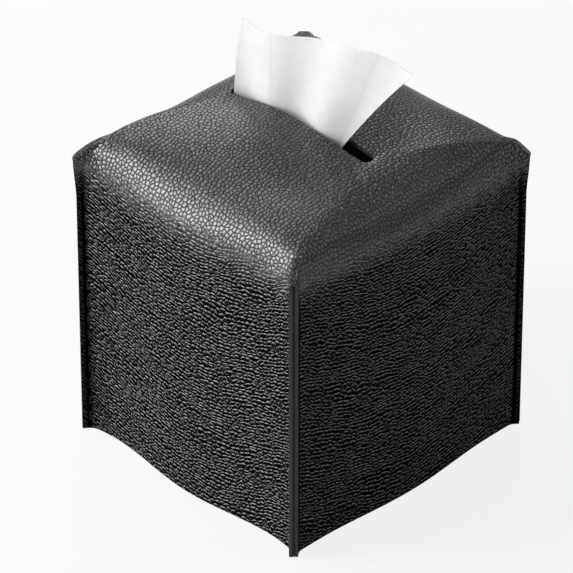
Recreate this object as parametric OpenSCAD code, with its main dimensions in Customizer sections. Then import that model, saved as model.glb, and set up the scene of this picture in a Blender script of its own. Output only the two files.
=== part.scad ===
// Soft square tissue box cover over a cube refill, with one tissue drawn up.
// The origin is on the surface that the cover stands on, at the middle of its plan. +Z is up, and the
// slot in the top runs along X.

/* [Refill carton] */
// Side of the square carton
carton_w = 111; // [105:0.5:114]
// Height of the carton
carton_h = 122; // [112:1:128]
// Thickness of the carton's board
board_t = 0.5; // [0.4:0.05:0.8]
// Height of the carton's bottom closure, which is two flaps thick
base_flap_t = 1; // [0.8:0.1:1.6]
// Length of the opening in the carton's top
mouth_l = 84; // [78:1:94]
// Width of the opening in the carton's top
mouth_w = 46; // [30:1:60]
// Width of the glued flap inside one corner of the carton
glue_flap_w = 14; // [8:1:20]

/* [Film] */
// Thickness of the film under the carton's opening
film_t = 0.2; // [0.15:0.05:0.4]
// How far the film reaches past the opening, where it is glued to the board
film_lap = 8; // [5:0.5:12]
// Length of the slit in the film
slit_l = 70; // [64:1:76]
// Width to which the tissue holds the slit open
slit_w = 8; // [7:0.5:12]

/* [Tissues] */
// Gap between the folded tissues' crown and the film
crown_gap = 16.3; // [8:0.1:40]
// Thickness of each leg of the folded tissues
leg_t = 50; // [40:1:51]
// Gap between the folded tissues and the carton
stack_clear = 1.5; // [0.5:0.1:3]
// Corner radius of the folded tissues' crown
crown_r = 30; // [20:1:40]
// Thickness of the drawn tissue, two plies folded double
sheet_t = 0.6; // [0.4:0.05:0.9]
// How far the drawn tissue's near edge stands above the top panel
sheet_low_rise = 38; // [25:0.5:45]
// How far the drawn tissue's far tip stands above the top panel
sheet_high_rise = 51.5; // [40:0.5:60]
// Width of the drawn tissue in the slot
sheet_neck_w = 56; // [50:1:62]
// Width of the drawn tissue along its upper edge
sheet_fan_w = 88.5; // [80:1:100]

/* [Cover] */
// Gap between the carton and the narrowest part of the X walls
clear_x = 2.3; // [1:0.1:4]
// Gap between the carton and the narrowest part of the Y walls
clear_y = 2.85; // [1:0.05:4.5]
// How far the X walls swell out past their narrowest part
swell_x = 3; // [1:0.1:5]
// How far the Y walls swell out past their narrowest part
swell_y = 4.2; // [1:0.1:6]
// Room between the carton and the middle of the cover's top
headroom = 18.5; // [14:0.1:26]
// How far below the top's middle the front wall starts to bend over
shoulder_front = 20; // [14:0.5:36]
// How far below the top's middle the right wall starts to bend over
shoulder_right = 22; // [14:0.5:36]
// How far below the top's middle the back wall starts to bend over
shoulder_back = 16; // [14:0.5:36]
// How far below the top's middle the left wall, the softest, starts to bend over
shoulder_left = 37; // [14:0.5:44]
// How far below the top's middle the corner seams begin
corner_drop = 13.2; // [10:0.1:16]
// How far the top's front corner is rounded inwards, seen from above
pull_front = 5; // [0.5:0.5:8]
// How far the top's right corner is rounded inwards, seen from above
pull_right = 0.5; // [0.5:0.5:8]
// How far the top's back corner is rounded inwards, seen from above
pull_back = 3.5; // [0.5:0.5:8]
// How far the top's left corner is rounded inwards, seen from above
pull_left = 6; // [0.5:0.5:8]
// How much the stiff corner seams prop up the top beside them
corner_lift = 4; // [0:0.5:5]
// Thickness of the outer leather
leather_t = 1.3; // [1:0.05:1.6]
// Thickness of the suede lining
lining_t = 0.4; // [0.3:0.05:0.6]
// Length of the slot in the top
slot_l = 73; // [68:1:84]
// Width of the slot in the top
slot_w = 6.5; // [6:0.5:14]
// How much the drawn tissue lifts the slot's lips
lip_rise = 6; // [0:0.5:8]
// Angle by which the slot is turned from the X walls' middles
slot_turn = 3; // [0:0.5:4]

/* [Corner seams] */
// Depth of each seam's free edge, from its cut face to the crease
seam_d = 3.3; // [2.8:0.1:5]
// How far the seams' cut edges reach past the narrowest part of the X walls
seam_out_x = 1; // [0.6:0.1:3]
// How far the seams' cut edges reach past the narrowest part of the Y walls
seam_out_y = 3.8; // [2:0.1:5]
// Glue line on each side of a seam's middle
bond_t = 0.1; // [0.05:0.01:0.2]
// Radius of the crease at the foot of a seam
crease_r = 0.7; // [0.4:0.1:1.5]
// How much further out the seams lean at their tops
seam_flare = 1; // [0:0.1:2]
// Length of one stitch
stitch_l = 4; // [3:0.5:6]
// Thickness of the seam thread
thread_t = 0.5; // [0.3:0.05:0.7]
// Bare length of seam above and below the stitching
stitch_end = 4; // [2:0.5:8]

/* [Hidden] */

// Overrun of every cut past the face that it opens
overrun = 1;

// Laminate of leather and lining, and the plan that follows from the carton
laminate_t = leather_t + lining_t;
valley_x = carton_w / 2 + clear_x + laminate_t;
valley_y = carton_w / 2 + clear_y + laminate_t;
tip_x = valley_x + seam_out_x;
tip_y = valley_y + seam_out_y;
cover_h = carton_h + headroom + laminate_t;
corner_h = cover_h - corner_drop;
stack_h = carton_h - board_t - film_t - crown_gap - base_flap_t;
diagonal = sqrt(2);
seam_half = laminate_t + bond_t;
shoulders = [shoulder_front, shoulder_right, shoulder_back, shoulder_left];
pulls = [pull_front, pull_right, pull_back, pull_left];
seam_run = seam_d / diagonal;

// Shape of the outline: where the hem is narrowest, how gently it rises to the seam, how much of
// the hem's wave is left under the top, and where the outline has opened out above the seam
valley_in = 13;
ramp_l = 5;
top_wave_share = 0.35;
open_power = 2;
pinch_end_share = 0.8;
// Roundness of the top: exponents of its profile at the walls' middles and at a corner
flat_x = 2.5;
flat_y = 3.6;
mid_round = 2;
corner_flat = 3.4;
corner_round = 1.2;
edge_power = 3.4;
profile_power = 3;
// Where the top is propped up: from where along a wall, over how much of the way in, and how it fades
lift_start_share = 0.09;
lift_rise_share = 0.11;
lift_fade = 3.75;
// How far over the top a seam's ridge fades out, and where up the wall the seams start to lean out
ridge_share = 0.15;
flare_start_share = 0.86;
flare_power = 40;
// Where along X the slot's lips are lifted most, and how far the lift reaches from there
lip_crest_x = -6;
lip_reach_x = 52;
lip_reach_y = 50;
// Angle left free at each side of the slot's round ends, where the corner folds arrive
slot_end_angle = 78;

// Grid of the leather: steps from the seam into the wall, in seam depths, then steps to the middle
seam_steps_shares = [0, 0.5, 0.85, 1.1, 1.5, 2.3, 4];
wall_steps = 5;
wall_rings_shares = [0, 0.3, 0.6, 0.86, 1];
top_ring_angles = [10, 22, 34, 46, 58, 69, 78, 84, 88, 90];
quarter_turn = 90;
probe = 0.002;

function pick(k, even, odd) = k % 2 == 0 ? even : odd;
function clamp(v, low, high) = min(max(v, low), high);
function smooth(v) = let (c = clamp(v, 0, 1)) c * c * (3 - 2 * c);
function blend(low, high, share) = low + (high - low) * share;
function reversed(list) = [for (i = [len(list) - 1:-1:0]) list[i]];

// Ends of a wall's outline at the seam's cut edge: along the wall, and outwards
function end_along(k) = pick(k, tip_x, tip_y) - seam_half / diagonal;
function end_out(k) = pick(k, tip_y, tip_x) + seam_half / diagonal;
function valley(k) = pick(k, valley_y, valley_x);
function swell(k) = pick(k, swell_y, swell_x);

// Outward place of a wall, with the seam's face at its ends. The hem is narrowest near the corners
// and swollen in the middle, and the top holds the wall out nearly straight.
function bump(k, along) =
    let (valley_along = end_along(k) - valley_in)
    abs(along) < valley_along ? (1 + cos(2 * quarter_turn * along / valley_along)) / 2 : 0;
function turn_out(v) = crease_r * ln(1 + exp(v / crease_r));
function seam_face(k, along) = turn_out(abs(along) - end_along(k) + seam_run);
function seam_foot(k) = end_out(k) - turn_out(seam_run);
function hem_form(k, along) = valley(k) + swell(k) * bump(k, along) + seam_face(k, along)
    + (seam_foot(k) - valley(k)) * exp((abs(along) - end_along(k)) / ramp_l);
function taut_form(k, along, end) =
    blend(valley(k) + swell(k), end, pow(abs(along) / end_along(k), open_power));
function wall_form(k, along, wave) =
    blend(taut_form(k, along, seam_foot(k)) + seam_face(k, along), hem_form(k, along), wave);

// How far both walls draw in at a distance from their corner, along a parabola that joins them
function corner_cut(from_corner, reach, pull) =
    let (round_l = 4 * pull * reach * smooth((1 - reach) / ridge_share))
    from_corner < round_l ? pow(round_l - from_corner, 2) / (4 * round_l) : 0;

// How much the corner seams prop up the top
function prop_up(u, reach) =
    corner_lift * smooth((abs(u) - lift_start_share) / (1 - lift_start_share))
        * smooth((1 - reach) / lift_rise_share) * pow(reach, lift_fade);

// How much the drawn tissue lifts the top at a plan point
function lip_lift(p) =
    lip_rise * smooth(1 - norm([(p[0] - lip_crest_x) / lip_reach_x, p[1] / lip_reach_y]));

// Rim of the slot, as one wall sees it: the long sides are straight and the ends are round
function slot_rim(k, u) = k % 2 == 0
    ? [u * (slot_l / 2 - slot_w / 2 - seam_half / 2), slot_w / 2]
    : [slot_w / 2 * sin(u * slot_end_angle), slot_l / 2 - slot_w / 2 + slot_w / 2 * cos(u * slot_end_angle)];

// Plan point of a wall from its place along the wall and outwards. Wall 0 faces -Y, wall 1 faces +X.
function facing_wall(k, p) = [[p[0], -p[1]], [p[1], p[0]], [-p[0], p[1]], [-p[1], -p[0]]][k];
function turned(p, angle) =
    [p[0] * cos(angle) - p[1] * sin(angle), p[0] * sin(angle) + p[1] * cos(angle)];

// Point on the outer face. u runs along a wall from seam to seam, from -1 to 1. v runs up the wall
// from 0 to 1, then over the top to the slot from 1 to 2.
function outer(k, u, v) =
    let (
        along = u * end_along(k),
        near_corner = smooth(pow(abs(u), profile_power)),
        angle = v > 1 ? (v - 1) * quarter_turn : 0,
        reach = pow(cos(angle), 2 / blend(pick(k, flat_y, flat_x), corner_flat, near_corner)),
        rise = pow(sin(angle), 2 / blend(mid_round, corner_round, near_corner)),
        pinch = smooth((reach - pinch_end_share) / (1 - pinch_end_share)),
        flare = seam_flare / diagonal * pow(abs(u), flare_power)
            * smooth((v - flare_start_share) / (1 - flare_start_share)),
        wave = blend(1, top_wave_share, min(v, 1)),
        out = blend(taut_form(k, along, end_out(k)), wall_form(k, along, wave), pinch),
        shift = flare - corner_cut(end_along(k) * (1 - abs(u)), reach, pulls[u > 0 ? k : (k + 3) % 4]),
        edge_h = cover_h - blend(shoulders[k], corner_drop, smooth(pow(abs(u), edge_power))),
        wall_point = facing_wall(k, [along + sign(u) * shift, out + shift]),
        rim_point = turned(facing_wall(k, slot_rim(k, u)), slot_turn),
        plan = blend(rim_point, wall_point, reach),
        z = v > 1 ? blend(edge_h, cover_h, rise) + prop_up(u, reach) + lip_lift(plan) : v * edge_h
    )
    concat(plan, z);

function facing(k, u, v) =
    let (
        along_wall = outer(k, min(u + probe, 1), v) - outer(k, max(u - probe, -1), v),
        low = v <= 1 ? max(v - probe, 0) : v - probe,
        high = v <= 1 ? low + probe : min(v + probe, 2),
        up_wall = outer(k, u, high) - outer(k, u, low),
        n = cross(along_wall, up_wall)
    )
    n / norm(n);

// Point at a depth below the outer face. The hem is cut level.
function skin(k, u, v, depth) =
    let (p = outer(k, u, v) - depth * facing(k, u, v))
    v > 0 ? p : [p[0], p[1], 0];

// Steps along a wall, close together at the seams
function half_steps(k) =
    let (near = [for (s = seam_steps_shares) 1 - s * seam_run / end_along(k)])
    concat(near, [for (i = [1:wall_steps]) near[len(near) - 1] * (1 - i / wall_steps)]);
function steps(k) = concat(-half_steps(k), reversed([for (u = half_steps(k)) if (u > 0) u]));

rings_v = concat(wall_rings_shares, [for (a = top_ring_angles) 1 + a / quarter_turn]);
last_wall_ring = len(wall_rings_shares) - 1;
last_ring = len(rings_v) - 1;
per_wall = 2 * (len(seam_steps_shares) + wall_steps) - 1;
per_ring = 4 * per_wall;

// A cross-cut sheet between two depths: its top is one piece, and its walls part at the seams
module cross_cut_sheet(from_depth, to_depth) {
    points = [for (depth = [from_depth, to_depth], v = rings_v, k = [0:3], u = steps(k))
        skin(k, u, v, depth)];
    layer = len(rings_v) * per_ring;
    function at(side, ring, i) = side * layer + ring * per_ring + i % per_ring;
    function open_seam(ring, i) = ring < last_wall_ring && i % per_wall == per_wall - 1;
    function quad(a, b, c, d) = [[a, c, b], [a, d, c]];
    around = [for (i = [0:per_ring - 1]) i];
    cells = [for (ring = [0:last_ring - 1], i = around) if (!open_seam(ring, i)) [ring, i]];
    outer_faces = [for (c = cells) each quad(at(0, c[0], c[1]), at(0, c[0], c[1] + 1),
        at(0, c[0] + 1, c[1] + 1), at(0, c[0] + 1, c[1]))];
    inner_faces = [for (c = cells) each quad(at(1, c[0], c[1]), at(1, c[0] + 1, c[1]),
        at(1, c[0] + 1, c[1] + 1), at(1, c[0], c[1] + 1))];
    hem = [for (i = around) if (!open_seam(0, i))
        each quad(at(1, 0, i), at(1, 0, i + 1), at(0, 0, i + 1), at(0, 0, i))];
    slot_edge = [for (i = around) each quad(at(0, last_ring, i), at(0, last_ring, i + 1),
        at(1, last_ring, i + 1), at(1, last_ring, i))];
    seam_ends = [for (i = around) if (open_seam(0, i))
        each quad(at(1, last_wall_ring, i), at(1, last_wall_ring, i + 1),
            at(0, last_wall_ring, i + 1), at(0, last_wall_ring, i))];
    cut_edges = [for (ring = [0:last_wall_ring - 1], i = around) if (open_seam(ring, i))
        each concat(
            quad(at(0, ring, i), at(1, ring, i), at(1, ring + 1, i), at(0, ring + 1, i)),
            quad(at(1, ring, i + 1), at(0, ring, i + 1), at(0, ring + 1, i + 1), at(1, ring + 1, i + 1)))];
    polyhedron(points, concat(outer_faces, inner_faces, hem, slot_edge, seam_ends, cut_edges), convexity = 8);
}

module leather_cover() {
    color("#1d1d1f") cross_cut_sheet(0, leather_t);
}

module lining() {
    color("#3a3a3c") cross_cut_sheet(leather_t, laminate_t);
}

// Running stitches through a seam at its crease: each stitch is sunk into one face, then passes through
stitch_sunk_share = 0.75;
stitch_count = floor((corner_h - 2 * stitch_end) / stitch_l);

// Distance from a seam's middle plane to the leather's face at the stitches
function face_side(k, v) =
    let (
        p = outer(k, 1 - seam_run / end_along(k), v),
        along = pick(k, p[0], p[1]),
        out = pick(k, -p[1], p[0])
    )
    ((pick(k, tip_x, tip_y) - along) + (out - pick(k, tip_y, tip_x))) / diagonal;
function stitch_face(k, i) =
    face_side(k, (stitch_end + (i + 1 / 2) * stitch_l) / corner_h) + thread_t * (1 - stitch_sunk_share);
module seam_thread(side_x, side_y) {
    color("#101012")
    translate([side_x * tip_x, side_y * tip_y, 0])
    rotate(side_x * side_y > 0 ? quarter_turn / 2 : -quarter_turn / 2)
    translate([-side_x * seam_d, 0, stitch_end])
    rotate([quarter_turn, 0, quarter_turn])
    linear_extrude(thread_t, center = true) {
        for (i = [0:stitch_count - 1]) {
            k = i % 2;
            side = k == 0 ? side_y : -side_y;
            translate([side * (stitch_face(k, i) - thread_t / 2) - thread_t / 2, i * stitch_l])
            square([thread_t, stitch_l + thread_t]);
        }
        for (i = [0:stitch_count]) {
            y_face = stitch_face(0, i - i % 2);
            x_face = stitch_face(1, i - (i + 1) % 2);
            translate([side_y > 0 ? -x_face : -y_face, i * stitch_l])
            square([x_face + y_face, thread_t]);
        }
    }
}

module seam_thread_front() { seam_thread(1, -1); }
module seam_thread_right() { seam_thread(1, 1); }
module seam_thread_back() { seam_thread(-1, 1); }
module seam_thread_left() { seam_thread(-1, -1); }

module rounded_slot(length, width, height) {
    linear_extrude(height) {
        square([length - width, width], center = true);
        for (side = [-1, 1])
            translate([side * (length - width) / 2, 0]) circle(d = width, $fn = 64);
    }
}

// Folded board: four sides, a top with its opening torn out, and a bottom of lapped flaps
module refill_carton() {
    inside_w = carton_w - 2 * board_t;
    color("#d9d6cf") {
        difference() {
            translate([-carton_w / 2, -carton_w / 2, 0]) cube([carton_w, carton_w, carton_h]);
            translate([-inside_w / 2, -inside_w / 2, base_flap_t])
                cube([inside_w, inside_w, carton_h - base_flap_t - board_t]);
            translate([0, 0, carton_h - board_t - overrun])
                rounded_slot(mouth_l, mouth_w, board_t + 2 * overrun);
        }
        translate([inside_w / 2 - board_t, inside_w / 2 - glue_flap_w, base_flap_t])
            cube([board_t, glue_flap_w, carton_h - base_flap_t - board_t]);
    }
}

// Film glued under the board round the opening, with its slit held open by the tissue
module carton_film() {
    film_l = mouth_l + 2 * film_lap;
    film_w = mouth_w + 2 * film_lap;
    color("#e8edf0")
    translate([0, 0, carton_h - board_t - film_t])
    difference() {
        translate([-film_l / 2, -film_w / 2, 0]) cube([film_l, film_w, film_t]);
        translate([0, 0, -overrun]) rotate(slot_turn) rounded_slot(slit_l, slit_w, film_t + 2 * overrun);
    }
}

// Interleaved tissues bent over into an arch, which is how a cube carton holds them upright
module tissue_stack() {
    stack_w = carton_w - 2 * board_t - 2 * stack_clear;
    fold_gap = stack_w - 2 * leg_t;
    color("#f4f4f2")
    translate([-(stack_w - 2 * board_t) / 2, 0, base_flap_t])
    rotate([quarter_turn, 0, quarter_turn])
    linear_extrude(stack_w - 2 * board_t)
    difference() {
        union() {
            translate([-stack_w / 2, 0]) square([stack_w, stack_h - crown_r]);
            translate([-stack_w / 2 + crown_r, 0]) square([stack_w - 2 * crown_r, stack_h]);
            for (side = [-1, 1])
                translate([side * (stack_w / 2 - crown_r), stack_h - crown_r]) circle(r = crown_r, $fn = 96);
        }
        translate([-fold_gap / 2, -overrun]) square([fold_gap, stack_h - leg_t + overrun]);
        translate([0, stack_h - leg_t]) circle(d = fold_gap, $fn = 48);
    }
}

// Drawn tissue: a gathered neck from the crown up through film and slot, opening into a folded fan
neck_side_gap = 1.5;
neck_forward = 1;
foot_gap = 0.5;
foot_w = 50;
foot_left = -28;
fan_left_in = 4.9;
neck_fold = 1.2;
fan_fold = 0.8;
fan_lean = 0.9;
fold_turns = 2.2;
fold_drift = 110;
near_corner_dip = 2;
dip_start_share = 0.12;
dip_end_share = 0.5;
high_tip_share = 0.87;
far_corner_fall = 1.8;
fall_start_share = 0.75;
fold_open_share = 0.7;
across_count = 32;
neck_rows = 5;
fan_rows = 12;
full_turn = 360;
sheet_foot = base_flap_t + stack_h + foot_gap;

// u runs across the tissue from 0 to 1, and v runs up it: -1 at its foot, 0 in the slot and 1 at its
// upper edge
function sheet_point(u, v) =
    let (
        neck_left = -slot_l / 2 + neck_side_gap,
        down = max(-v, 0),
        up = max(v, 0),
        left = v < 0 ? blend(neck_left, foot_left, down) : neck_left + fan_left_in * up * up,
        wide = v < 0 ? blend(sheet_neck_w, foot_w, down) : blend(sheet_neck_w, sheet_fan_w, up),
        edge = blend(sheet_low_rise, sheet_high_rise, smooth(u / high_tip_share))
            - near_corner_dip * smooth(u / dip_start_share) * (1 - smooth(u / dip_end_share))
            - far_corner_fall * smooth((u - fall_start_share) / (1 - fall_start_share)),
        fold_h = blend(neck_fold, fan_fold, smooth(up / fold_open_share)),
        forward = neck_forward * (1 - down) + fan_lean * up * up,
        z = v < 0 ? blend(cover_h, sheet_foot, down) : cover_h + edge * up,
        flat_point = [left + wide * u, fold_h * sin(full_turn * fold_turns * u + fold_drift * up) - forward]
    )
    concat(turned(flat_point, slot_turn), z);

module tissue_sheet() {
    rows = concat([for (i = [neck_rows:-1:1]) -i / neck_rows], [for (i = [0:fan_rows]) i / fan_rows]);
    columns = across_count + 1;
    layer = len(rows) * columns;
    points = [for (side = [-1, 1], v = rows, i = [0:across_count])
        sheet_point(i / across_count, v) + [0, side * sheet_t / 2, 0]];
    function at(side, row, i) = side * layer + row * columns + i;
    function quad(a, b, c, d) = [[a, c, b], [a, d, c]];
    last = len(rows) - 1;
    front = [for (r = [0:last - 1], i = [0:across_count - 1])
        each quad(at(0, r, i), at(0, r, i + 1), at(0, r + 1, i + 1), at(0, r + 1, i))];
    back = [for (r = [0:last - 1], i = [0:across_count - 1])
        each quad(at(1, r, i), at(1, r + 1, i), at(1, r + 1, i + 1), at(1, r, i + 1))];
    foot = [for (i = [0:across_count - 1])
        each quad(at(0, 0, i), at(1, 0, i), at(1, 0, i + 1), at(0, 0, i + 1))];
    upper = [for (i = [0:across_count - 1])
        each quad(at(0, last, i), at(0, last, i + 1), at(1, last, i + 1), at(1, last, i))];
    left = [for (r = [0:last - 1]) each quad(at(0, r, 0), at(0, r + 1, 0), at(1, r + 1, 0), at(1, r, 0))];
    right = [for (r = [0:last - 1]) each quad(at(0, r, across_count), at(1, r, across_count),
        at(1, r + 1, across_count), at(0, r + 1, across_count))];
    color("#fbfbfb") polyhedron(points, concat(front, back, foot, upper, left, right), convexity = 8);
}

leather_cover();
lining();
seam_thread_front();
seam_thread_right();
seam_thread_back();
seam_thread_left();
refill_carton();
carton_film();
tissue_stack();
tissue_sheet();
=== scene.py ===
import math

import bpy
import numpy as np
from mathutils import Matrix, Vector


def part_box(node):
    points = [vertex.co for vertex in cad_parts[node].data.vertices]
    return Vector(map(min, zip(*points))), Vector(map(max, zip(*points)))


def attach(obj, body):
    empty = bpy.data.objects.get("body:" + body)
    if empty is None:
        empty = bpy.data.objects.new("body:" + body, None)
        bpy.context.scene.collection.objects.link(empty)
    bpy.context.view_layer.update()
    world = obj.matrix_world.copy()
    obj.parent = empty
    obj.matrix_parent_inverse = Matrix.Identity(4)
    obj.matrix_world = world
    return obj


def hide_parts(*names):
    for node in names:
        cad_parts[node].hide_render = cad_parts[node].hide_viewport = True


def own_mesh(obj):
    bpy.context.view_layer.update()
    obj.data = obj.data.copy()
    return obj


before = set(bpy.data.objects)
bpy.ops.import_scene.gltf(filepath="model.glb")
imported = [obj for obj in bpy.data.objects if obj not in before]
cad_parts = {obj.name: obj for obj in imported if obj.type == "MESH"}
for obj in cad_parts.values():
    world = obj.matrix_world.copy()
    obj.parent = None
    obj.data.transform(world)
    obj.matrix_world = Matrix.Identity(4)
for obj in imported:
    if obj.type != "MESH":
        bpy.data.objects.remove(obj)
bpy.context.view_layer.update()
mm = 0.001
tiny = 1e-6
diagonal = math.sqrt(2)
slotTurn = math.radians(3)  # the slot and its tissue stand a little askew

# The photograph's viewing angle, found from the ends of the cover's fins
camera = {
    "azimuth": 45.526, "elevation": 34.671,  # degrees, from -Y towards +X, and up
    "distance": 2.05567, "right": -0.005905, "up": 0.055268,  # metres
    "lens": 320.11, "sensor": 36, "farthest": 30,
}


def makeCamera():
    azimuth, elevation = math.radians(camera["azimuth"]), math.radians(camera["elevation"])
    level = math.cos(elevation)
    back = Vector((math.sin(azimuth) * level, -math.cos(azimuth) * level, math.sin(elevation)))
    right = Vector((math.cos(azimuth), math.sin(azimuth), 0))
    up = back.cross(right)
    place = back * camera["distance"] + right * camera["right"] + up * camera["up"]
    bpy.ops.object.camera_add(location=place)
    made = bpy.context.object
    made.name = "photoCamera"
    made.rotation_euler = Matrix((right, up, back)).transposed().to_euler()
    made.data.lens, made.data.sensor_width = camera["lens"], camera["sensor"]
    made.data.clip_end = camera["farthest"]
    bpy.context.scene.camera = made
    print("camera: placed")


# Shader nodes: a wire carries a socket and does maths, a recipe is one material or the world
class Wire:
    def __init__(self, recipe, socket):
        self.recipe, self.socket = recipe, socket

    def maths(self, operation, *values, clamp=False):
        settings = {"operation": operation, "use_clamp": clamp}
        return self.recipe.node("ShaderNodeMath", settings, list(values))

    def __add__(self, other):
        return self.maths("ADD", self, other)

    def __radd__(self, other):
        return self.maths("ADD", other, self)

    def __sub__(self, other):
        return self.maths("SUBTRACT", self, other)

    def __rsub__(self, other):
        return self.maths("SUBTRACT", other, self)

    def __mul__(self, other):
        return self.maths("MULTIPLY", self, other)

    def __rmul__(self, other):
        return self.maths("MULTIPLY", other, self)

    def __truediv__(self, other):
        return self.maths("DIVIDE", self, other)

    def __rtruediv__(self, other):
        return self.maths("DIVIDE", other, self)

    def __abs__(self):
        return self.maths("ABSOLUTE", self)

    def limited(self):
        return self.maths("ADD", self, 0, clamp=True)

    def sine(self):
        return self.maths("SINE", self)

    # 0 up to low, 1 from high on, and a smooth rise between them
    def eased(self, low, high):
        return self.recipe.node("ShaderNodeMapRange", {"interpolation_type": "SMOOTHSTEP"},
                                {"Value": self, "From Min": low, "From Max": high})

    def parts(self):
        return [self.recipe.node("ShaderNodeSeparateXYZ", {}, [self], output=i) for i in range(3)]


class Recipe:
    colourMix = {"share": 0, "low": 6, "high": 7, "result": 2}  # where a Mix node keeps its colour sockets
    shaderSockets = {
        "colour": "Base Color", "roughness": "Roughness", "normal": "Normal", "alpha": "Alpha",
        "specular": "Specular IOR Level", "sheen": "Sheen Weight",
        "coat": "Coat Weight", "coatRoughness": "Coat Roughness",
    }

    def __init__(self, name, world=None):
        self.owner = world or bpy.data.materials.new(name)
        self.owner.use_nodes = True
        self.tree = self.owner.node_tree
        self.principled = self.tree.nodes.get("Principled BSDF")

    # A node of this kind, with its settings, and with values or wires in its sockets
    def node(self, kind, settings=None, sockets=None, output=0):
        made = self.tree.nodes.new(kind)
        for name, value in (settings or {}).items():
            setattr(made, name, value)
        named = sockets.items() if isinstance(sockets, dict) else enumerate(sockets or [])
        for name, value in named:
            self.join(value, made.inputs[name])
        return Wire(self, made.outputs[output])

    def join(self, value, socket):
        if isinstance(value, Wire):
            self.tree.links.new(value.socket, socket)
        elif isinstance(value, tuple) and len(value) == 3 and socket.type == "RGBA":
            socket.default_value = (*value, 1)
        else:
            socket.default_value = value

    def objectPlace(self):
        return self.node("ShaderNodeTexCoord", output="Object")

    def mapPlace(self, name):
        return self.node("ShaderNodeUVMap", {"uv_map": name})

    def moved(self, place, shift=(0, 0, 0), scale=(1, 1, 1)):
        return self.node("ShaderNodeMapping", {}, {"Vector": place, "Location": shift, "Scale": scale})

    def cells(self, place, size, feature, randomness):
        return self.node("ShaderNodeTexVoronoi", {"feature": feature, "voronoi_dimensions": "2D"},
                         {"Vector": place, "Scale": 1 / size, "Randomness": randomness})

    def noise(self, place, size, detail=2.0, output="Fac"):
        return self.node("ShaderNodeTexNoise", {},
                         {"Vector": place, "Scale": 1 / size, "Detail": detail}, output)

    # The place, pushed about over this reach by a noise of this size
    def warped(self, place, size, reach):
        drift = self.noise(place, size, 1.0, output="Color")
        centred = self.node("ShaderNodeVectorMath", {"operation": "SUBTRACT"}, [drift, (0.5, 0.5, 0.5)])
        push = self.node("ShaderNodeVectorMath", {"operation": "SCALE"}, {"Vector": centred, "Scale": reach})
        return self.node("ShaderNodeVectorMath", {"operation": "ADD"}, [place, push])

    # 1 for rays from the camera and through glass, less for those that a gloss sends on
    def seenDirectly(self, glossShare):
        seen, mirrored, through = [self.node("ShaderNodeLightPath", output=kind) for kind in
                                   ("Is Camera Ray", "Is Glossy Ray", "Is Transmission Ray")]
        return (seen + mirrored * glossShare + through).limited()

    def mixed(self, share, low, high):
        at = self.colourMix
        return self.node("ShaderNodeMix", {"data_type": "RGBA"},
                         {at["share"]: share, at["low"]: low, at["high"]: high}, output=at["result"])

    def bump(self, height, relief):
        return self.node("ShaderNodeBump", {}, {"Height": height, "Distance": relief, "Strength": 1.0})

    def finish(self, **values):
        for name, value in values.items():
            self.join(value, self.principled.inputs[self.shaderSockets[name]])
        return self.owner

    # A finish whose roughness and relief follow one texture, and its colour too unless a shade is given
    def textured(self, look, texture, shade=None, **more):
        return self.finish(
            colour=self.mixed(texture if shade is None else shade, look["dark"], look["colour"]),
            roughness=look["roughness"] + texture * look["roughnessRise"], specular=look["specular"],
            normal=self.bump(texture, look["relief"]), **more)

    def surface(self):
        return Wire(self, self.principled.outputs["BSDF"])

    # Shows low where the mask is 0 and high where it is 1
    def show(self, mask, low, high):
        both = self.node("ShaderNodeMixShader", {}, [mask, low, high])
        self.join(both, self.tree.nodes["Material Output"].inputs["Surface"])
        return self.owner

    # Painted shade: a dull dark finish where the mask is 0, the finish itself where it is 1
    def withPaintedShade(self, mask, shade, roughness):
        dull = self.node("ShaderNodeBsdfPrincipled", {},
                         {"Base Color": shade, "Roughness": roughness, "Specular IOR Level": 0.0})
        return self.show(mask, dull, self.surface())


# Pale floor, and white beyond it
floor = {
    "size": 6.0, "drop": 0.0001, "colour": (0.86, 0.86, 0.86), "roughness": 0.9,
    "cloud": 0.4, "speckle": 0.004,  # metres across a cloud, and how much darker it is
    "lift": 0.84, "gloss": 0.1,  # share of plain white in it, and how much of that a gloss sees
}
light = {
    "lamps": {
        "key": {"from": (-0.587, -0.69, 0.42), "distance": 1.6, "size": (0.55, 1.5), "power": 25.5},
        "top": {"from": (-0.587, -0.27, 0.76), "distance": 1.6, "size": (0.8, 0.5), "power": 6},
        "back": {"from": (-0.70, 0.46, 0.58), "distance": 1.6, "size": (0.8, 0.6), "power": 4.9},
        "fill": {"from": (0.45, -0.75, 0.6), "distance": 1.9, "size": (1.4, 1.2), "power": 1.1},
        "side": {"from": (0.6, 0.55, 0.6), "distance": 1.7, "size": (0.5, 0.5), "power": 0.75},
    },
    "centre": (0, 0, 0.08),  # what the lamps point at
    "world": 0.2, "worldGloss": 0.2,  # light from the white surroundings, and how much of them a gloss sees
}


def floorMaterial():
    paint = Recipe("floorPaint")
    cloudy = paint.noise(paint.objectPlace(), floor["cloud"])
    low = tuple(c - floor["speckle"] for c in floor["colour"])
    paint.finish(colour=paint.mixed(cloudy, low, floor["colour"]), roughness=floor["roughness"],
                 specular=0.0)
    glow = paint.node("ShaderNodeEmission", {}, {"Color": (1.0, 1.0, 1.0), "Strength": 1.0})
    return paint.show(paint.seenDirectly(floor["gloss"]) * floor["lift"], paint.surface(), glow)


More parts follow.
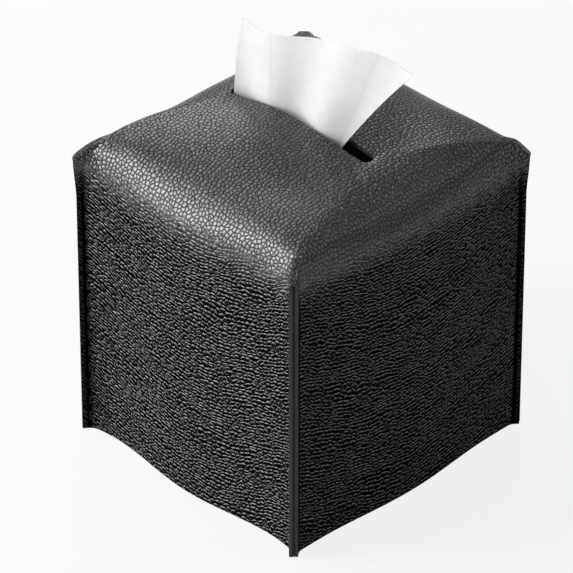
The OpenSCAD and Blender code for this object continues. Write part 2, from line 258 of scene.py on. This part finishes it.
def makeStage():
    bpy.ops.object.select_all(action="DESELECT")
    bpy.ops.mesh.primitive_plane_add(size=floor["size"], location=(0, 0, -floor["drop"]))
    plane = bpy.context.object
    plane.name = "floor"
    plane.data.materials.append(floorMaterial())
    for name, lamp in light["lamps"].items():
        toward = Vector(lamp["from"]).normalized()
        place = toward * lamp["distance"] + Vector(light["centre"])
        turn = toward.to_track_quat("Z", "Y").to_euler()
        bpy.ops.object.light_add(type="AREA", location=place, rotation=turn)
        made = bpy.context.object
        made.name = name + "Softbox"
        made.data.shape = "RECTANGLE"
        made.data.size, made.data.size_y = lamp["size"]
        made.data.energy = lamp["power"]
    world = bpy.context.scene.world or bpy.data.worlds.new("studio")
    bpy.context.scene.world = world
    sky = Recipe("studio", world)
    backdrop = sky.tree.nodes["Background"]
    strength = sky.seenDirectly(light["worldGloss"]) * (1 - light["world"]) + light["world"]
    sky.join((1.0, 1.0, 1.0), backdrop.inputs["Color"])
    sky.join(strength, backdrop.inputs["Strength"])
    bpy.context.scene.view_settings.view_transform = "Standard"
    print("stage: floor, softboxes and white surroundings")


# Pebbled artificial leather: long cells lie along the walls, round ones cover the top. Domes, the drop at
# a cell's edge, rows and pores are millimetres of height, and other sizes are metres
leather = {
    # crest is a painted highlight colour for the upper rims of the walls' pebbles
    "colour": (0.0045, 0.0045, 0.005), "creviceShade": (0.001, 0.001, 0.001), "crest": (0.165, 0.165, 0.166),
    # Painted light: the top's base colour is lighter than the walls'
    "paintedTopLight": (0.011, 0.011, 0.0115),
    "wall": {"map": "walls", "cell": 0.00172, "stretch": 1.3, "random": 0.9, "slope": 0.3,
             "dome": 0.32, "edge": 0.3, "rows": 0.07, "warp": ((0.020, 0.0060), (0.005, 0.0016))},
    "top": {"map": "sheetTop", "cell": 0.0017, "stretch": 1.1, "random": 0.8, "slope": 0.2,
            "dome": 0.42, "edge": 0.34, "rows": 0.0, "warp": ((0.010, 0.0010), (0.003, 0.0005))},
    "turn": (0.1260, 0.1285), "glossTurn": (0.110, 0.131),  # heights between which the grain changes, and between which gloss and the painted lighter top colour come in
    "ragged": (0.004, 0.014),  # size of the tongues between both grains, and their reach
    "rim": 0.00028, "rimSlope": (-0.12, 0.7),  # how far up rims reach, and between which slopes they get the painted highlight colour and gloss
    "creviceDark": (0.5, 0.75), "creviceWidth": (0.0, 0.22),  # painted shade in the crevices: its darkness on the walls and the top, and its width as a share of a cell
    # Painted shade: a dark line in each seam's crease, and fins darkened towards their edges
    "seamLine": 0.0019, "seamWidth": (0.0003, 0.0010), "finShade": (0.0012, 0.0028), "finDark": 0.5,
    "wallGloss": 0.03, "coat": 0.65, "coatRoughness": 0.3, "specular": 1.0, "dullRoughness": 0.9,
    "roughness": (0.4, 0.3),  # on the walls and on the top
    "pore": 0.0004, "poreHeight": 0.01, "poreRoughness": 0.08,
    "sag": 0.0035,  # how the walls' rows of pebbles hang in the middle, per millimetre
}


# Height of the pebbles in millimetres, and the distance to the nearest crevice in cells
def pebbles(skin, grain, raised=0.0):
    place = skin.moved(skin.mapPlace(grain["map"]), (0, -raised, 0), (1 / grain["stretch"], 1, 1))
    for size, reach in grain["warp"]:
        place = skin.warped(place, size, reach)
    edge = skin.cells(place, grain["cell"], "DISTANCE_TO_EDGE", grain["random"])
    middle = skin.cells(place, grain["cell"], "F1", grain["random"])
    rows = (place.parts()[1] * (2 * math.pi / grain["cell"])).sine() * grain["rows"]
    return edge.eased(0.0, grain["slope"]) * grain["edge"] - middle * middle * grain["dome"] + rows, edge


def leatherMaterial():
    skin = Recipe("pebbledLeather")
    size, reach = leather["ragged"]
    high = skin.objectPlace().parts()[2] + (skin.noise(skin.mapPlace("walls"), size) - 0.5) * reach
    onTop, nearTop = high.eased(*leather["turn"]), high.eased(*leather["glossTurn"])
    wallHeight, wallEdge = pebbles(skin, leather["wall"])
    above, _ = pebbles(skin, leather["wall"], leather["rim"])
    topHeight, topEdge = pebbles(skin, leather["top"])
    pores = skin.noise(skin.mapPlace("sheetTop"), leather["pore"])
    height = wallHeight * (1 - onTop) + topHeight * onTop + pores * leather["poreHeight"]
    # Painted highlight: the upper rims of the walls' pebbles, where light from above would glint, take the
    # light crest colour
    rim = ((wallHeight - above) / (leather["rim"] / mm)).eased(*leather["rimSlope"]) * (1 - onTop)
    edge = wallEdge * (1 - onTop) + topEdge * onTop
    faint, deep = leather["creviceDark"]
    # Painted shade: the crevices between pebbles are darkened
    creviceShade = (1 - edge.eased(*leather["creviceWidth"])) * (faint + onTop * (deep - faint))
    # Painted shade: a dark line in the seam's crease, and the fins darker towards their edges
    fromEdge = skin.mapPlace("seams").parts()[0]
    seam = 1 - abs(fromEdge - leather["seamLine"]).eased(*leather["seamWidth"])
    fin = 1 - fromEdge.eased(*leather["finShade"])
    seamAndFinShade = (seam + fin * leather["finDark"]).limited() * (1 - nearTop)
    # Where this mask is low the dull painted shade shows: in crevices, along the seam lines and fins, and on
    # the walls away from the rims
    gloss = (rim + nearTop * nearTop + leather["wallGloss"]).limited() * (1 - creviceShade) * (1 - seamAndFinShade)
    # Painted light: towards the top the base colour turns lighter
    plain = skin.mixed(nearTop, leather["colour"], leather["paintedTopLight"])
    rough, smoother = leather["roughness"]
    skin.finish(
        colour=skin.mixed(rim, plain, leather["crest"]), specular=leather["specular"],
        roughness=rough + nearTop * (smoother - rough) + pores * leather["poreRoughness"],
        coat=nearTop * leather["coat"], coatRoughness=leather["coatRoughness"], normal=skin.bump(height, mm))
    return skin.withPaintedShade(gloss, leather["creviceShade"], leather["dullRoughness"])


# Painted cut edge of the leather, with faint fibres that run upwards
cutEdge = {
    "dark": (0.02, 0.02, 0.02), "colour": (0.055, 0.055, 0.057), "fibre": 0.0005, "detail": 3.0, "long": 4,
    "roughness": 0.42, "roughnessRise": 0.2, "specular": 0.4, "relief": 0.00006,
}


def cutEdgeMaterial():
    paint = Recipe("paintedEdge")
    place = paint.moved(paint.objectPlace(), scale=(1, 1, 1 / cutEdge["long"]))
    return paint.textured(cutEdge, paint.noise(place, cutEdge["fibre"], cutEdge["detail"]))


# Suede lining: its depth under the leather's face and its thickness are in millimetres, the rest in metres
lining = {
    "colour": (0.022, 0.022, 0.023), "darkShare": 0.45, "nap": 0.0007, "napDetail": 4.0, "brushed": 0.018,
    "napShare": 0.6, "contrast": (0.3, 0.7), "relief": 0.0001,
    "roughness": 0.95, "specular": 0.15, "sheen": 0.25, "depth": 1.3, "thickness": 0.4,
}


# Two noises as one shade, with the ends of its contrast at 0 and 1
def clouded(fine, coarse, fineShare, contrast):
    return (fine * fineShare + coarse * (1 - fineShare)).eased(*contrast)


def liningMaterial():
    suede = Recipe("suedeLining")
    place = suede.objectPlace()
    nap = suede.noise(place, lining["nap"], lining["napDetail"])
    brushed = suede.noise(place, lining["brushed"])
    dark = tuple(c * lining["darkShare"] for c in lining["colour"])
    shade = clouded(nap, brushed, lining["napShare"], lining["contrast"])
    return suede.finish(
        colour=suede.mixed(shade, dark, lining["colour"]), roughness=lining["roughness"],
        specular=lining["specular"], sheen=lining["sheen"], normal=suede.bump(nap, lining["relief"]))


# The cover's outline in millimetres, as the solid has it. Wall 0 faces -Y, and the others follow it round
cover = {
    "tip": (60.5, 63.85), "valley": (59.5, 60.05), "swell": (3.0, 4.2), "flat": (2.5, 3.6),  # for X and Y
    "shoulders": (20, 22, 16, 37), "pulls": (5, 0.5, 3.5, 6),  # for each wall, and for the corner at its end
    "height": 142.2, "cornerDrop": 13.2, "cornerFlat": 3.4, "cornerRound": 1.2, "midRound": 2.0,
    "edgePower": 3.4, "profilePower": 3.0, "pullRun": 4, "pullRise": 0.15, "pinchFrom": 0.8,
    "waveMargin": 13, "waveLeft": 0.35, "footFade": 5,
    "flare": 1.0, "flarePower": 40, "flareFrom": 0.86,
    "lift": 4.0, "liftShares": (0.09, 0.11), "liftFade": 3.75,
    "slot": (73, 6.5), "slotEndAngle": math.radians(78),
    "lipRise": 6.0, "lipCrest": -6, "lipReach": (52, 50),  # the mound round the slot
    "seamHalf": 1.8, "seamRun": 3.3 / diagonal, "crease": 0.7,
    "seamShares": (0, 0.3, 0.55, 0.75, 0.9, 1.0, 1.1, 1.25, 1.45, 1.75, 2.2, 3, 4),
    "ridgeShares": (0.25, 0.5, 0.75), "ridgeCrown": 0.35, "ridgeFade": 0.5,
    "wallSteps": 21, "wallRings": 46, "topRings": 32,
    "thickness": 1.3, "edgeRound": 0.22, "edgeAngle": math.radians(60), "smoothAngle": math.radians(50),
    "mapGap": 190, "mergeWithin": 0.01,
}


def smooth(v):
    c = np.clip(v, 0, 1)
    return c * c * (3 - 2 * c)


def blend(low, high, share):
    return low + (high - low) * share


# 0 for a low v, v itself for a high one, and a soft bend between them
def turnOut(v):
    return cover["crease"] * np.log1p(np.exp(v / cover["crease"]))


# Turns a point by as much as the slot stands askew
def turned(x, y):
    return (x * math.cos(slotTurn) - y * math.sin(slotTurn),
            x * math.sin(slotTurn) + y * math.cos(slotTurn))


# X and Y of a point that lies this far along a wall, and this far out
def facing(wall, along, out):
    return ((along, -out), (out, along), (-along, out), (-out, -along))[wall]


def wallEnd(wall):
    return cover["tip"][wall % 2] - cover["seamHalf"] / diagonal


# How far out the wall stands: waved at its hem, tauter as it climbs, and turned out to its fins
def wallOut(wall, across, climb, reach):
    other = 1 - wall % 2
    valley, swell = cover["valley"][other], cover["swell"][other]
    endAlong, endOut = wallEnd(wall), cover["tip"][other] + cover["seamHalf"] / diagonal
    along = abs(across) * endAlong
    foot = endOut - turnOut(cover["seamRun"])
    face = turnOut(along - endAlong + cover["seamRun"])
    waveEnd = endAlong - cover["waveMargin"]
    wave = np.where(along < waveEnd, (1 + np.cos(math.pi * along / waveEnd)) / 2, 0)
    hem = valley + swell * wave + face + (foot - valley) * np.exp((along - endAlong) / cover["footFade"])

    def taut(end):
        return blend(valley + swell, end, across ** 2)
    waved = blend(1, cover["waveLeft"], np.clip(climb, 0, 1))
    pinch = smooth((reach - cover["pinchFrom"]) / (1 - cover["pinchFrom"]))
    return blend(taut(endOut), blend(taut(foot) + face, hem, waved), pinch)


# How far a corner moves out along both axes: flared at its fin's top, and rounded off over the cover's
def cornerShift(wall, across, climb, reach):
    flare = cover["flare"] / diagonal * abs(across) ** cover["flarePower"] \
        * smooth((climb - cover["flareFrom"]) / (1 - cover["flareFrom"]))
    pull = np.where(across > 0, cover["pulls"][wall], cover["pulls"][wall - 1])
    run = cover["pullRun"] * pull * reach * smooth((1 - reach) / cover["pullRise"])
    fromCorner = wallEnd(wall) * (1 - abs(across))
    cut = np.where(fromCorner < run, (run - fromCorner) ** 2 / np.maximum(cover["pullRun"] * run, tiny), 0)
    return flare - cut


# The slot's rim as the wall sees it: a straight side for walls 0 and 2, a round end for the others
def slotRim(wall, across):
    long, wide = cover["slot"]
    straight, radius = (long - wide) / 2, wide / 2
    if wall % 2:
        angle = across * cover["slotEndAngle"]
        return radius * np.sin(angle), straight + radius * np.cos(angle)
    return across * (straight - cover["seamHalf"] / 2), radius + 0 * across


# Point of the outer face: across runs from seam to seam, -1 to 1, and climb up the wall from 0 to 1, then
# over the top to the slot from 1 to 2
def coverPoint(wall, across, climb):
    nearCorner = smooth(abs(across) ** cover["profilePower"])
    angle = np.clip(climb - 1, 0, 1) * math.pi / 2
    flatness = blend(cover["flat"][1 - wall % 2], cover["cornerFlat"], nearCorner)
    reach = np.clip(np.cos(angle), 0, 1) ** (2 / flatness)
    rise = np.sin(angle) ** (2 / blend(cover["midRound"], cover["cornerRound"], nearCorner))
    shift = cornerShift(wall, across, climb, reach)
    wallX, wallY = facing(wall, across * wallEnd(wall) + np.sign(across) * shift,
                          wallOut(wall, across, climb, reach) + shift)
    rimX, rimY = turned(*facing(wall, *slotRim(wall, across)))
    x, y = blend(rimX, wallX, reach), blend(rimY, wallY, reach)
    edgeHeight = cover["height"] - blend(cover["shoulders"][wall], cover["cornerDrop"],
                                         smooth(abs(across) ** cover["edgePower"]))
    liftStart, liftRise = cover["liftShares"]
    lift = cover["lift"] * smooth((abs(across) - liftStart) / (1 - liftStart)) \
        * smooth((1 - reach) / liftRise) * reach ** cover["liftFade"]
    reachX, reachY = cover["lipReach"]
    lips = cover["lipRise"] * smooth(1 - np.hypot((x - cover["lipCrest"]) / reachX, y / reachY))
    z = np.where(climb > 1, blend(edgeHeight, cover["height"], rise) + lift + lips, climb * edgeHeight)
    return np.stack([x, y, z], axis=-1)


# Steps from seam to seam, close together near the seams
def acrossSteps(wall):
    near = [1 - share * cover["seamRun"] / wallEnd(wall) for share in cover["seamShares"]]
    count = cover["wallSteps"]
    half = near + [near[-1] * (1 - i / count) for i in range(1, count)]
    return [-v for v in half] + [0.0] + half[::-1]


def activate(piece):
    bpy.ops.object.select_all(action="DESELECT")
    piece.select_set(True)
    bpy.context.view_layer.objects.active = piece


def gridPiece(name, columns, rows):
    bpy.ops.object.select_all(action="DESELECT")
    bpy.ops.mesh.primitive_grid_add(x_subdivisions=columns - 1, y_subdivisions=rows - 1, size=2)
    piece = bpy.context.object
    piece.name = piece.data.name = name
    return piece


def readPoints(piece, what="co"):
    flat = np.empty(len(piece.data.vertices) * 3)
    piece.data.vertices.foreach_get(what, flat)
    return flat.reshape(-1, 3)


def writePoints(piece, points):
    piece.data.vertices.foreach_set("co", points.ravel())
    piece.data.update()


# The four vertices of each face of a grid
def readCorners(piece):
    corners = np.empty(len(piece.data.loops), dtype=int)
    piece.data.loops.foreach_get("vertex_index", corners)
    return corners.reshape(-1, 4)


# Moves the vertices of a fresh grid to points[row, column]; says which row and column each came from
def shapeGrid(piece, points):
    rows, columns = points.shape[:2]
    start = readPoints(piece)
    column = np.rint((start[:, 0] + 1) / 2 * (columns - 1)).astype(int)
    row = np.rint((start[:, 1] + 1) / 2 * (rows - 1)).astype(int)
    writePoints(piece, points[row, column] * mm)
    return row, column


def addModifier(piece, kind, **settings):
    activate(piece)
    bpy.ops.object.modifier_add(type=kind)
    modifier = piece.modifiers[-1]
    for name, value in settings.items():
        setattr(modifier, name, value)
    bpy.ops.object.modifier_apply(modifier=modifier.name)


def shadeSmooth(piece, angle):
    activate(piece)
    bpy.ops.object.shade_smooth_by_angle(angle=angle)


# Lays the sheet out flat in maps, in metres: one whole cross, each wall by itself, and the distance to the
# nearest seam's edge
def layOut(sheet, points, row, column, walls):
    corners = readCorners(sheet)
    wallOf = np.array(walls)[column[corners].min(axis=1)].repeat(4)
    corners = corners.ravel()
    x, y = points[..., 0], points[..., 1]
    steps = np.diff(points[::-1], axis=0)
    cross, apart, near = (np.zeros((len(corners), 2)) for _ in range(3))
    for wall in range(4):
        along, out = (x, y, -x, -y)[wall], (-y, x, y, -x)[wall]
        sideways = np.diff(along[::-1], axis=0)
        outward = np.sqrt(np.maximum((steps ** 2).sum(axis=2) - sideways ** 2, 0))
        run = np.concatenate([out[-1:], out[-1:] + np.cumsum(outward, axis=0)])[::-1]
        a, o = along[row[corners], column[corners]], run[row[corners], column[corners]]
        mine = wallOf == wall
        cross[mine] = np.stack(facing(wall, a, o), axis=1)[mine]
        apart[mine] = np.stack([a + cover["mapGap"] * wall, o + leather["sag"] * a ** 2], axis=1)[mine]
        near[mine, 0] = wallEnd(wall) - abs(a[mine])
    for name, place in (("sheetTop", cross), ("walls", apart), ("seams", near)):
        layer = sheet.data.uv_layers.new(name=name)
        layer.data.foreach_set("uv", (place * mm).ravel())


# The sheet's lines from hem to slot, going round. Also says after which lines the faces lie in a seam, and
# whose wall each line is on
def coverLines(climbs):
    lines, ridge, walls = [], [], []
    fade = (1 - smooth((climbs - 1) / cover["ridgeFade"]))[:, None]
    for wall in range(4):
        following = (wall + 1) % 4
        for across in acrossSteps(wall):
            lines.append(coverPoint(wall, np.full_like(climbs, across), climbs))
            ridge.append(False)
            walls.append(wall)
        ridge[-1] = True
        end = coverPoint(wall, np.full_like(climbs, 1.0), climbs)
        start = coverPoint(following, np.full_like(climbs, -1.0), climbs)
        out = np.array([*facing(wall, 1, 1), 0]) / diagonal
        for share in cover["ridgeShares"]:
            crown = 4 * share * (1 - share) * cover["ridgeCrown"]
            lines.append(blend(end, start, share) + crown * out * fade)
            ridge.append(True)
            walls.append(wall if share < 0.5 else following)
    lines.append(lines[0])
    return np.stack(lines, axis=1), np.array(ridge), walls


# Opens the seams below the top, merges the first and last line and turns all faces outwards. Gives the
# points and their normals
def partSeams(sheet, inSeam):
    activate(sheet)
    bpy.ops.object.mode_set(mode="EDIT")
    bpy.ops.mesh.select_mode(type="FACE")
    bpy.ops.mesh.select_all(action="DESELECT")
    bpy.ops.object.mode_set(mode="OBJECT")
    sheet.data.polygons.foreach_set("select", inSeam)
    bpy.ops.object.mode_set(mode="EDIT")
    bpy.ops.mesh.delete(type="FACE")
    bpy.ops.mesh.select_mode(type="VERT")
    bpy.ops.mesh.select_all(action="SELECT")
    bpy.ops.mesh.remove_doubles(threshold=cover["mergeWithin"] * mm)
    bpy.ops.mesh.normals_make_consistent(inside=False)
    bpy.ops.object.mode_set(mode="OBJECT")
    placed, normals = readPoints(sheet), readPoints(sheet, "normal")
    if (normals[:, :2] * placed[:, :2]).sum() < 0:
        bpy.ops.object.mode_set(mode="EDIT")
        bpy.ops.mesh.flip_normals()
        bpy.ops.object.mode_set(mode="OBJECT")
        normals = -normals
    return placed, normals


# One cross-cut sheet: its top is whole, and its four walls part at the seams
def crossCutSheet(name, depth, thickness, materials):
    climbs = np.concatenate([np.linspace(0, 1, cover["wallRings"]),
                             1 + np.linspace(0, 1, cover["topRings"] + 1)[1:]])
    points, ridge, walls = coverLines(climbs)
    sheet = gridPiece(name, points.shape[1], points.shape[0])
    for material in materials:
        sheet.data.materials.append(material)
    row, column = shapeGrid(sheet, points)
    layOut(sheet, points, row, column, walls)
    corners = readCorners(sheet)
    inSeam = ridge[column[corners].min(axis=1)] & (row[corners].min(axis=1) < cover["wallRings"] - 1)
    placed, normals = partSeams(sheet, inSeam)
    sunk = placed - normals * depth * mm
    sunk[:, 2] = np.where(placed[:, 2] < tiny, 0, sunk[:, 2])  # the hem stays on the ground
    writePoints(sheet, sunk)
    addModifier(sheet, "SOLIDIFY", thickness=thickness * mm, offset=-1, use_even_offset=False,
                material_offset_rim=1)
    return sheet


def makeCover():
    skin = crossCutSheet("leatherSkin", 0, cover["thickness"], [leatherMaterial(), cutEdgeMaterial()])
    addModifier(skin, "BEVEL", width=cover["edgeRound"] * mm, segments=2, limit_method="ANGLE",
                angle_limit=cover["edgeAngle"])
    shadeSmooth(skin, cover["smoothAngle"])
    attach(skin, "cover")
    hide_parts("leather_cover")
    suede = crossCutSheet("suedeInside", lining["depth"], lining["thickness"], [liningMaterial()])
    shadeSmooth(suede, cover["smoothAngle"])
    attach(suede, "cover")
    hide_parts("lining")
    print("cover: leather and lining,", len(skin.data.polygons), "and", len(suede.data.polygons), "faces")


# Soft white paper of all tissues, in metres. A band of it by the slot's lips is painted darker as shade, and
# two lines of ticks are crimped in it
paper = {
    "colour": (0.85, 0.85, 0.855), "darkShare": 0.965, "contrast": (0.35, 0.65),
    "crepe": 0.0016, "crepeFlat": 6, "crepeDetail": 3.0, "crepeShare": 0.5,
    "cloud": 0.004, "cloudDetail": 4.0, "cloudShare": 0.5, "relief": 0.00007,
    "lipAt": -0.006, "lipReach": 0.052, "lipRise": 0.0055, "lipFoot": 0.1405,
    # The painted shade band by the slot's lips: its reach, colour and share
    "tuck": (0.0, 0.006), "tuckShade": (0.2, 0.2, 0.2), "lipShadeShare": 0.3,
    "crimps": ((-0.014, 0.0), (-0.0405, 0.42)),  # X of each line at height 0, and its slant
    "crimp": 0.0013, "crimpWidth": (0.0003, 0.0016), "crimpShare": 0.5, "crimpDark": 0.85,
    "roughness": 0.95, "specular": 0.1, "sheen": 0.1,
}


def tissueMaterial(name):
    sheet = Recipe(name)
    place = sheet.objectPlace()
    flattened = sheet.moved(place, scale=(1, 1, paper["crepeFlat"]))
    crepe = sheet.noise(flattened, paper["crepe"], paper["crepeDetail"])
    cloud = sheet.noise(place, paper["cloud"], paper["cloudDetail"])
    x, _, z = place.parts()
    # Painted shade: a darker band where the tissue passes the slot's lips
    lip = (1 - abs(x - paper["lipAt"]) / paper["lipReach"]).eased(0, 1) * paper["lipRise"] + paper["lipFoot"]
    lipShade = 1 - abs(z - lip).eased(*paper["tuck"])
    ticks = abs((z * (math.pi / paper["crimp"])).sine())
    crimps = sum(((1 - abs(x - at - z * slant).eased(*paper["crimpWidth"])) * ticks
                  for at, slant in paper["crimps"]), 0.0)
    low = tuple(c * paper["darkShare"] for c in paper["colour"])
    creased = tuple(c * paper["crimpDark"] for c in paper["colour"])
    plain = sheet.mixed(cloud.eased(*paper["contrast"]), low, paper["colour"])
    pressed = sheet.mixed(crimps.limited() * paper["crimpShare"], plain, creased)
    height = crepe * paper["crepeShare"] + cloud * paper["cloudShare"]
    return sheet.finish(
        colour=sheet.mixed(lipShade * paper["lipShadeShare"], pressed, paper["tuckShade"]),
        roughness=paper["roughness"], specular=paper["specular"], sheen=paper["sheen"],
        normal=sheet.bump(height, paper["relief"]))


# Drawn tissue: gathered in the slot, opening into a soft fan. Sizes in millimetres
tissue = {
    "foot": 105.6, "footWidth": 50, "footLeft": -28,
    "neck": 56, "sideGap": 1.5, "fan": 88.5, "fanLeftIn": 4.9,
    "rise": (38, 51.5), "riseEnd": 0.87, "dip": 2.0, "dipEnds": (0.12, 0.5), "fall": 1.8, "fallStart": 0.75,
    "forward": 1.0, "lean": 0.9, "folds": 2.2, "drift": math.radians(110),
    "foldHeight": (1.2, 0.8), "foldEnd": 0.7,
    "pleats": 0.15, "pleatRate": 3.7, "pleatShift": 0.8, "pleatGrowth": 6, "pleatFade": 7, "pleatLeft": 0.25,
    "thickness": 0.25, "columns": 150, "rows": (26, 60), "smoothAngle": math.radians(60),
    "flat": (0.082, 0.084),  # the modelled stretch laid flat, in metres
}


# Left end, width and heights of one line across the tissue: climb runs from -1 at its foot to 0 in the
# slot and 1 at its free edge
def tissueLine(share, climb):
    left = -cover["slot"][0] / 2 + tissue["sideGap"]
    if climb < 0:
        return (blend(left, tissue["footLeft"], -climb), blend(tissue["neck"], tissue["footWidth"], -climb),
                blend(cover["height"], tissue["foot"], -climb) + 0 * share)
    dipEnd, dipOut = tissue["dipEnds"]
    edge = blend(*tissue["rise"], smooth(share / tissue["riseEnd"])) \
        - tissue["dip"] * smooth(share / dipEnd) * (1 - smooth(share / dipOut)) \
        - tissue["fall"] * smooth((share - tissue["fallStart"]) / (1 - tissue["fallStart"]))
    return (left + tissue["fanLeftIn"] * climb ** 2, blend(tissue["neck"], tissue["fan"], climb),
            cover["height"] + edge * climb)


def makeTissue():
    columns, rows = tissue["columns"], tissue["rows"]
    share = np.linspace(0, 1, columns)
    climbs = np.concatenate([np.linspace(-1, 0, rows[0])[:-1], np.linspace(0, 1, rows[1])])
    lines = []
    for climb in climbs:
        left, wide, z = tissueLine(share, climb)
        down, up = max(-climb, 0), max(climb, 0)
        fold = blend(*tissue["foldHeight"], smooth(up / tissue["foldEnd"]))
        phase = 2 * math.pi * tissue["folds"] * share + tissue["drift"] * up
        pleated = min(down * tissue["pleatGrowth"], 1) \
            + max(1 - up * tissue["pleatFade"], 0) * tissue["pleatLeft"]
        pleat = tissue["pleats"] * smooth(pleated)
        y = fold * np.sin(phase) + pleat * np.sin(tissue["pleatRate"] * phase + tissue["pleatShift"])
        y -= tissue["forward"] * (1 - down) + tissue["lean"] * up ** 2
        lines.append(np.stack([*turned(left + wide * share, y), z], axis=-1))
    sheet = gridPiece("drawnTissue", columns, len(climbs))
    shapeGrid(sheet, np.stack(lines))
    addModifier(sheet, "SOLIDIFY", thickness=tissue["thickness"] * mm, offset=0)
    shadeSmooth(sheet, tissue["smoothAngle"])
    sheet.data.materials.append(tissueMaterial("drawnPaper"))
    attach(sheet, "tissue")
    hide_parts("tissue_sheet")
    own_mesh(sheet)
    print("tissue: drawn up through the slot")


# Folded tissues, bent over the carton's middle in nested layers. Sizes in millimetres
stack = {
    "layers": 13, "depth": 50, "gap": 0.35, "crown": 30, "leastCrown": 2.0, "steps": (26, 60),
    "ragged": 0.6, "raggedRate": 2.4, "smoothAngle": math.radians(40),
}


# A layer's line over the carton: up one leg, round its corner, over the crown and down the other leg
def layerPath(half, low, crest, corner):
    legRun, arc, flat = crest - corner - low, math.pi / 2 * corner, half - corner
    total = 2 * (legRun + arc + flat)
    path = []
    for travelled in np.linspace(0, 1, stack["steps"][1]) * total:
        side = 1 if travelled > total / 2 else -1
        t = total - travelled if side == 1 else travelled
        if t < legRun:
            path.append((side * half, low + t))
        elif t < legRun + arc:
            a = (t - legRun) / corner
            inward, upward = corner * (1 - math.cos(a)), corner * math.sin(a)
            path.append((side * (half - inward), low + legRun + upward))
        else:
            path.append((side * (half - corner - (t - legRun - arc)), crest))
    return np.array(path)


def makeStack():
    low, high = np.array(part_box("tissue_stack")) / mm
    longHalf, half, _ = (high - low) / 2
    pitch = stack["depth"] / stack["layers"]
    layers = []
    for layer in range(stack["layers"]):
        inset = layer * pitch
        corner = min(max(stack["crown"] - inset, stack["leastCrown"]), half - inset)
        path = layerPath(half - inset, low[2], high[2] - inset, corner)
        ragged = stack["ragged"] * (1 + math.sin(layer * stack["raggedRate"])) / 2
        ends = np.linspace(-1, 1, stack["steps"][0]) * (longHalf - ragged)
        points = np.stack([np.column_stack([np.full(len(path), end), path]) for end in ends])
        band = gridPiece(f"foldedLayer{layer}", points.shape[1], points.shape[0])
        shapeGrid(band, points)
        addModifier(band, "SOLIDIFY", thickness=(pitch - stack["gap"]) * mm, offset=1)
        layers.append(band)
    activate(layers[0])
    for band in layers:
        band.select_set(True)
    bpy.ops.object.join()
    folded = bpy.context.object
    folded.name = folded.data.name = "foldedTissues"
    shadeSmooth(folded, stack["smoothAngle"])
    folded.data.materials.append(tissueMaterial("foldedPaper"))
    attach(folded, "refill")
    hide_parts("tissue_stack")
    print("stack: folded tissues")


# Finishes of the pieces that stay as the solids have them
board = {
    "dark": (0.17, 0.12, 0.08), "colour": (0.24, 0.175, 0.12), "contrast": (0.3, 0.7),
    "fibre": 0.0011, "fibreFlat": 3, "detail": 4.0, "fibreShare": 0.6, "cloud": 0.02,
    "roughness": 0.75, "roughnessRise": 0.15, "specular": 0.3, "relief": 0.00005,
}
film = {
    "dark": (0.80, 0.83, 0.85), "colour": (0.9, 0.92, 0.93), "ripple": 0.006, "narrow": 3, "detail": 1.0,
    "alpha": 0.25, "roughness": 0.16, "roughnessRise": 0.1, "specular": 0.3, "relief": 0.0004,
}
thread = {
    "dark": (0.004, 0.004, 0.004), "colour": (0.015, 0.015, 0.016), "twists": 900.0, "distortion": 1.5,
    "roughness": 0.6, "roughnessRise": 0.15, "specular": 0.3, "relief": 0.00008,
}


def boardMaterial():
    gray = Recipe("grayBoard")
    place = gray.objectPlace()
    fibres = gray.noise(gray.moved(place, scale=(1, 1, board["fibreFlat"])), board["fibre"], board["detail"])
    shade = clouded(fibres, gray.noise(place, board["cloud"]), board["fibreShare"], board["contrast"])
    return gray.textured(board, fibres, shade)


def filmMaterial():
    clear = Recipe("clearFilm")
    place = clear.moved(clear.objectPlace(), scale=(1, film["narrow"], 1))
    return clear.textured(film, clear.noise(place, film["ripple"], film["detail"]), alpha=film["alpha"])


def threadMaterial():
    black = Recipe("blackThread")
    twist = black.node("ShaderNodeTexWave", {"bands_direction": "DIAGONAL"},
                       {"Vector": black.objectPlace(), "Scale": thread["twists"],
                        "Distortion": thread["distortion"]})
    return black.textured(thread, twist)


def dressNodes():
    finishes = {"refill_carton": boardMaterial(), "carton_film": filmMaterial()}
    sewing = threadMaterial()
    for corner in ("front", "right", "back", "left"):
        finishes["seam_thread_" + corner] = sewing
    for name, material in finishes.items():
        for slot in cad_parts[name].material_slots:
            slot.material = material
    print("solids: board, film and thread finished")


makeCamera()
makeStage()
makeCover()
makeStack()
makeTissue()
dressNodes()
